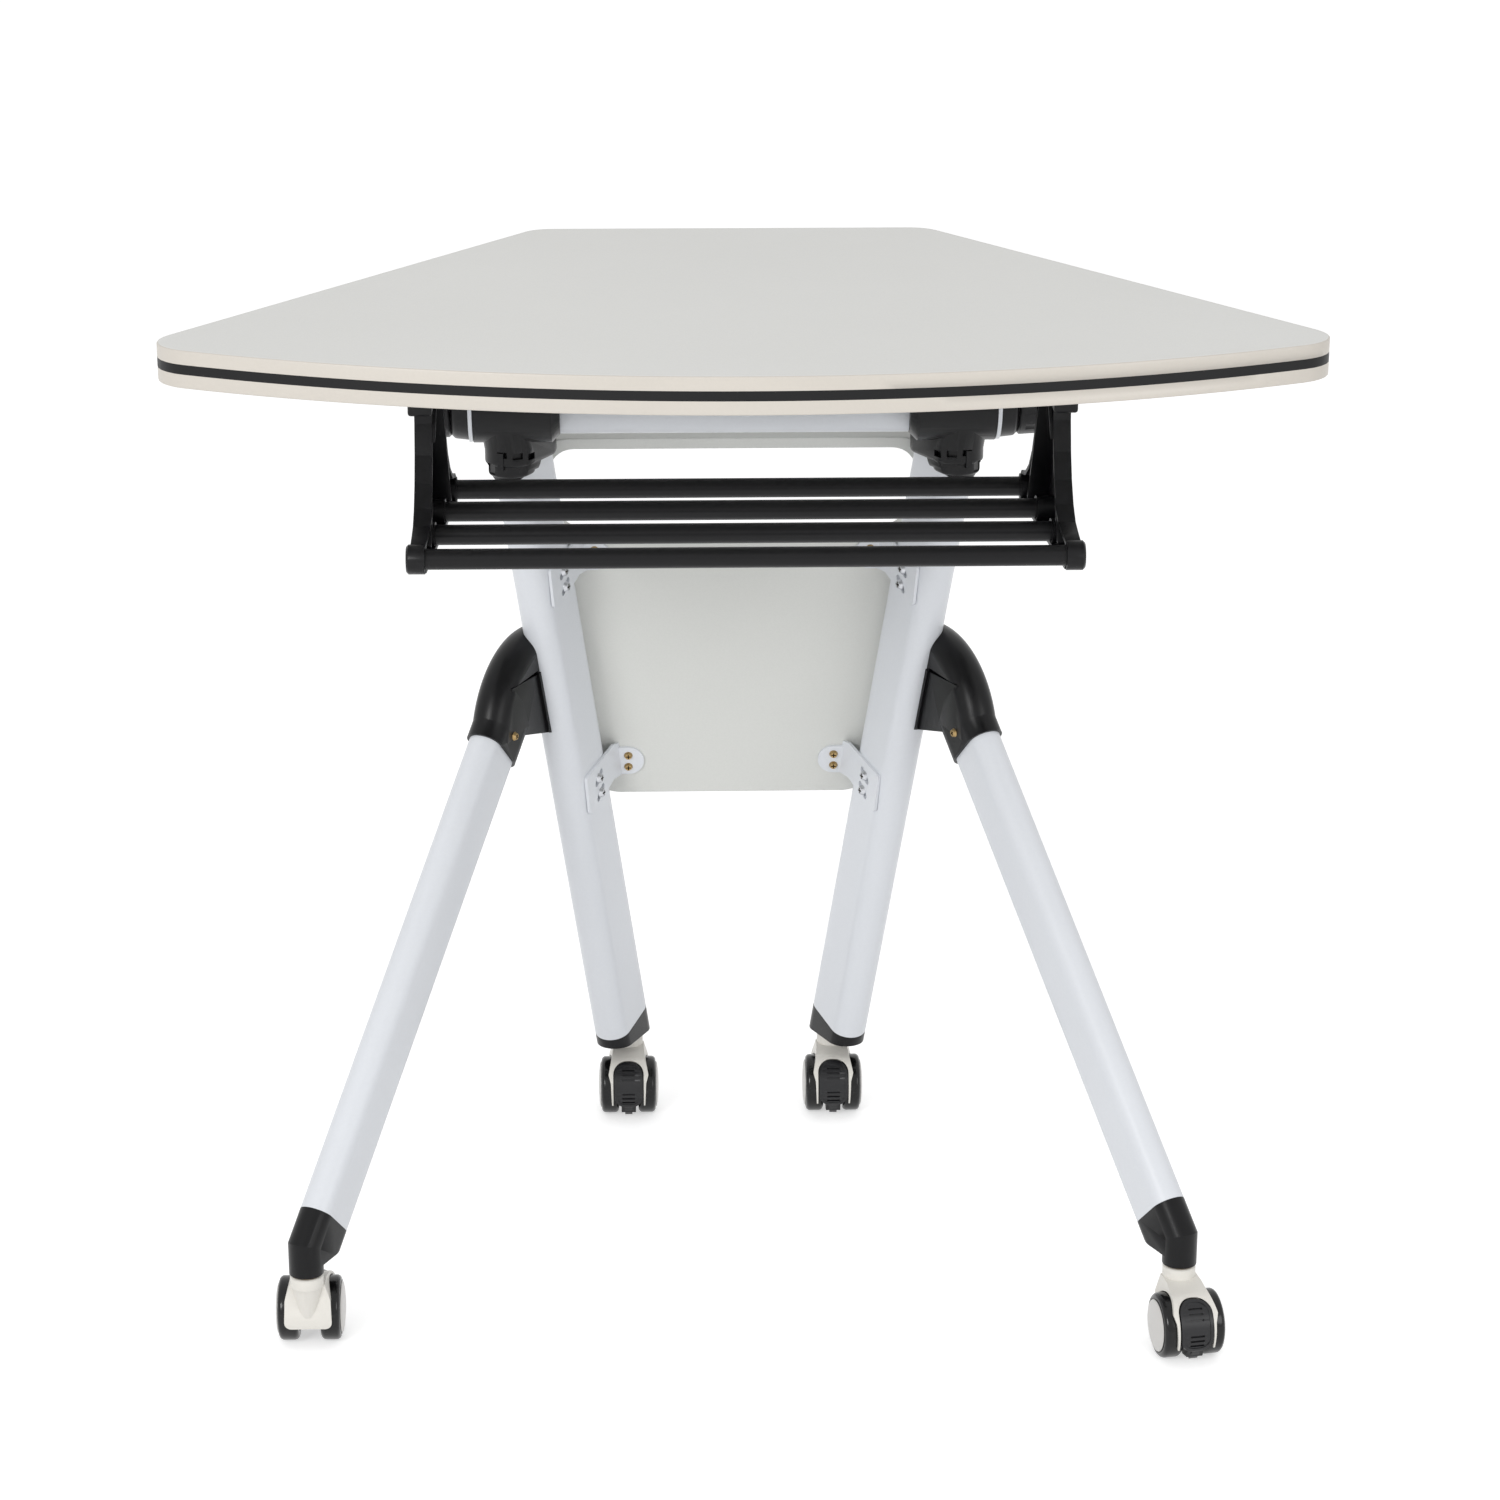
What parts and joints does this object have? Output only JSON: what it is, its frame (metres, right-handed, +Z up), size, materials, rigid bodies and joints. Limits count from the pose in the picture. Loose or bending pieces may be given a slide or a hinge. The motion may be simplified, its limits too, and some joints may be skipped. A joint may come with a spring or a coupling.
{
  "type": "flip top student desk",
  "caption": "Fan-shaped flip top student desk on splayed flat oval tube legs, with a book rack, a modesty panel and braked twin wheel castors.",
  "frame": {"origin": "on the floor under the centre of the desk's outer box", "axes": "+Z up, +X to the right as the user sits at the curved front edge, +Y away from the user to the straight rear edge"},
  "size_m": [0.771, 0.6137, 0.747],
  "materials": {
    "laminate": "fine textured light grey laminate",
    "edge_cream": "satin cream",
    "edge_black": "satin",
    "leg_paint": "semi-gloss white powder coat",
    "panel_white": "satin",
    "black_moulding": "fine grain black",
    "bar_paint": "satin black powder coat",
    "castor_cream": "satin cream",
    "wheel_black": "glossy black tread with a pale hub cap",
    "steel": "bright zinc",
    "brass_plate": "yellow zinc or brass"
  },
  "bodies": {
    "leg_frame": {"cross_beam": "leg_paint", "head_left": "black_moulding", "head_right": "black_moulding", "pivot_pin_left": "steel", "pivot_pin_right": "steel", "main_leg_left": "leg_paint", "main_leg_right": "leg_paint", "front_leg_left": "leg_paint", "front_leg_right": "leg_paint", "leg_joint_left": "black_moulding", "leg_joint_right": "black_moulding", "front_shoe_left": "black_moulding", "front_shoe_right": "black_moulding", "rear_shoe_left": "black_moulding", "rear_shoe_right": "black_moulding", "modesty_panel": "panel_white", "lower_bracket_left": "leg_paint", "lower_bracket_right": "leg_paint", "upper_bracket_left": "leg_paint", "upper_bracket_right": "leg_paint", "bracket_screws": "steel", "brass_screws": "brass_plate", "castor_stems": "brass_plate"},
    "top": {"desktop": "laminate", "edge_band": "edge_cream", "edge_stripe": "edge_black", "hinge_plate_left": "leg_paint", "hinge_plate_right": "leg_paint", "hinge_collar_left": "black_moulding", "hinge_collar_right": "black_moulding", "top_screws": "steel", "rack_bracket_left": "black_moulding", "rack_bracket_right": "black_moulding", "rack_bar_1": "bar_paint", "rack_bar_2": "bar_paint", "rack_bar_3": "bar_paint", "rack_bar_4": "bar_paint"},
    "knob_left": {"release_knob_left": "black_moulding"},
    "knob_right": {"release_knob_right": "black_moulding"},
    "castor_fl": {"castor_fl_fork": "castor_cream", "castor_fl_axle": "steel"},
    "castor_fl_wheel_left": {"castor_fl_wheel_left": "wheel_black"},
    "castor_fl_wheel_right": {"castor_fl_wheel_right": "wheel_black"},
    "castor_fl_pedal": {"castor_fl_pedal": "black_moulding"},
    "castor_fr": {"castor_fr_fork": "castor_cream", "castor_fr_axle": "steel"},
    "castor_fr_wheel_left": {"castor_fr_wheel_left": "wheel_black"},
    "castor_fr_wheel_right": {"castor_fr_wheel_right": "wheel_black"},
    "castor_fr_pedal": {"castor_fr_pedal": "black_moulding"},
    "castor_rl": {"castor_rl_fork": "castor_cream", "castor_rl_axle": "steel"},
    "castor_rl_wheel_left": {"castor_rl_wheel_left": "wheel_black"},
    "castor_rl_wheel_right": {"castor_rl_wheel_right": "wheel_black"},
    "castor_rl_pedal": {"castor_rl_pedal": "black_moulding"},
    "castor_rr": {"castor_rr_fork": "castor_cream", "castor_rr_axle": "steel"},
    "castor_rr_wheel_left": {"castor_rr_wheel_left": "wheel_black"},
    "castor_rr_wheel_right": {"castor_rr_wheel_right": "wheel_black"},
    "castor_rr_pedal": {"castor_rr_pedal": "black_moulding"}
  },
  "joints": [
    {"name": "top_flip", "type": "hinge", "parent": "leg_frame", "child": "top", "pos_m": [0, 0.11794, 0.644], "axis": [-1, 0, 0], "range_deg": [0, 80]},
    {"name": "knob_left_pull", "type": "slide", "parent": "top", "child": "knob_left", "axis": [-1, 0, 0], "range_m": [0, 0.008], "stiffness_N_per_m": 400},
    {"name": "knob_right_pull", "type": "slide", "parent": "top", "child": "knob_right", "axis": [1, 0, 0], "range_m": [0, 0.008], "stiffness_N_per_m": 400},
    {"name": "castor_fl_swivel", "type": "hinge", "parent": "leg_frame", "child": "castor_fl", "pos_m": [-0.315, -0.15906, 0.0235], "axis": [0, 0, 1], "continuous": true},
    {"name": "castor_fl_spin_left", "type": "hinge", "parent": "castor_fl", "child": "castor_fl_wheel_left", "pos_m": [-0.315, -0.13806, 0.0235], "axis": [-1, 0, 0], "continuous": true},
    {"name": "castor_fl_spin_right", "type": "hinge", "parent": "castor_fl", "child": "castor_fl_wheel_right", "pos_m": [-0.315, -0.13806, 0.0235], "axis": [-1, 0, 0], "continuous": true},
    {"name": "castor_fl_brake", "type": "hinge", "parent": "castor_fl", "child": "castor_fl_pedal", "pos_m": [-0.315, -0.13806, 0.0235], "axis": [-1, 0, 0], "range_deg": [0, 10]},
    {"name": "castor_fr_swivel", "type": "hinge", "parent": "leg_frame", "child": "castor_fr", "pos_m": [0.315, -0.15906, 0.0235], "axis": [0, 0, 1], "continuous": true},
    {"name": "castor_fr_spin_left", "type": "hinge", "parent": "castor_fr", "child": "castor_fr_wheel_left", "pos_m": [0.31865, -0.17974, 0.0235], "axis": [0.9848, 0.1736, 0], "continuous": true},
    {"name": "castor_fr_spin_right", "type": "hinge", "parent": "castor_fr", "child": "castor_fr_wheel_right", "pos_m": [0.31865, -0.17974, 0.0235], "axis": [0.9848, 0.1736, 0], "continuous": true},
    {"name": "castor_fr_brake", "type": "hinge", "parent": "castor_fr", "child": "castor_fr_pedal", "pos_m": [0.31865, -0.17974, 0.0235], "axis": [0.9848, 0.1736, 0], "range_deg": [0, 10]},
    {"name": "castor_rl_swivel", "type": "hinge", "parent": "leg_frame", "child": "castor_rl", "pos_m": [-0.085, 0.28694, 0.0235], "axis": [0, 0, 1], "continuous": true},
    {"name": "castor_rl_spin_left", "type": "hinge", "parent": "castor_rl", "child": "castor_rl_wheel_left", "pos_m": [-0.085, 0.26594, 0.0235], "axis": [1, 0, 0], "continuous": true},
    {"name": "castor_rl_spin_right", "type": "hinge", "parent": "castor_rl", "child": "castor_rl_wheel_right", "pos_m": [-0.085, 0.26594, 0.0235], "axis": [1, 0, 0], "continuous": true},
    {"name": "castor_rl_brake", "type": "hinge", "parent": "castor_rl", "child": "castor_rl_pedal", "pos_m": [-0.085, 0.26594, 0.0235], "axis": [1, 0, 0], "range_deg": [0, 10]},
    {"name": "castor_rr_swivel", "type": "hinge", "parent": "leg_frame", "child": "castor_rr", "pos_m": [0.085, 0.28694, 0.0235], "axis": [0, 0, 1], "continuous": true},
    {"name": "castor_rr_spin_left", "type": "hinge", "parent": "castor_rr", "child": "castor_rr_wheel_left", "pos_m": [0.085, 0.26594, 0.0235], "axis": [1, 0, 0], "continuous": true},
    {"name": "castor_rr_spin_right", "type": "hinge", "parent": "castor_rr", "child": "castor_rr_wheel_right", "pos_m": [0.085, 0.26594, 0.0235], "axis": [1, 0, 0], "continuous": true},
    {"name": "castor_rr_brake", "type": "hinge", "parent": "castor_rr", "child": "castor_rr_pedal", "pos_m": [0.085, 0.26594, 0.0235], "axis": [1, 0, 0], "range_deg": [0, 10]}
  ]
}
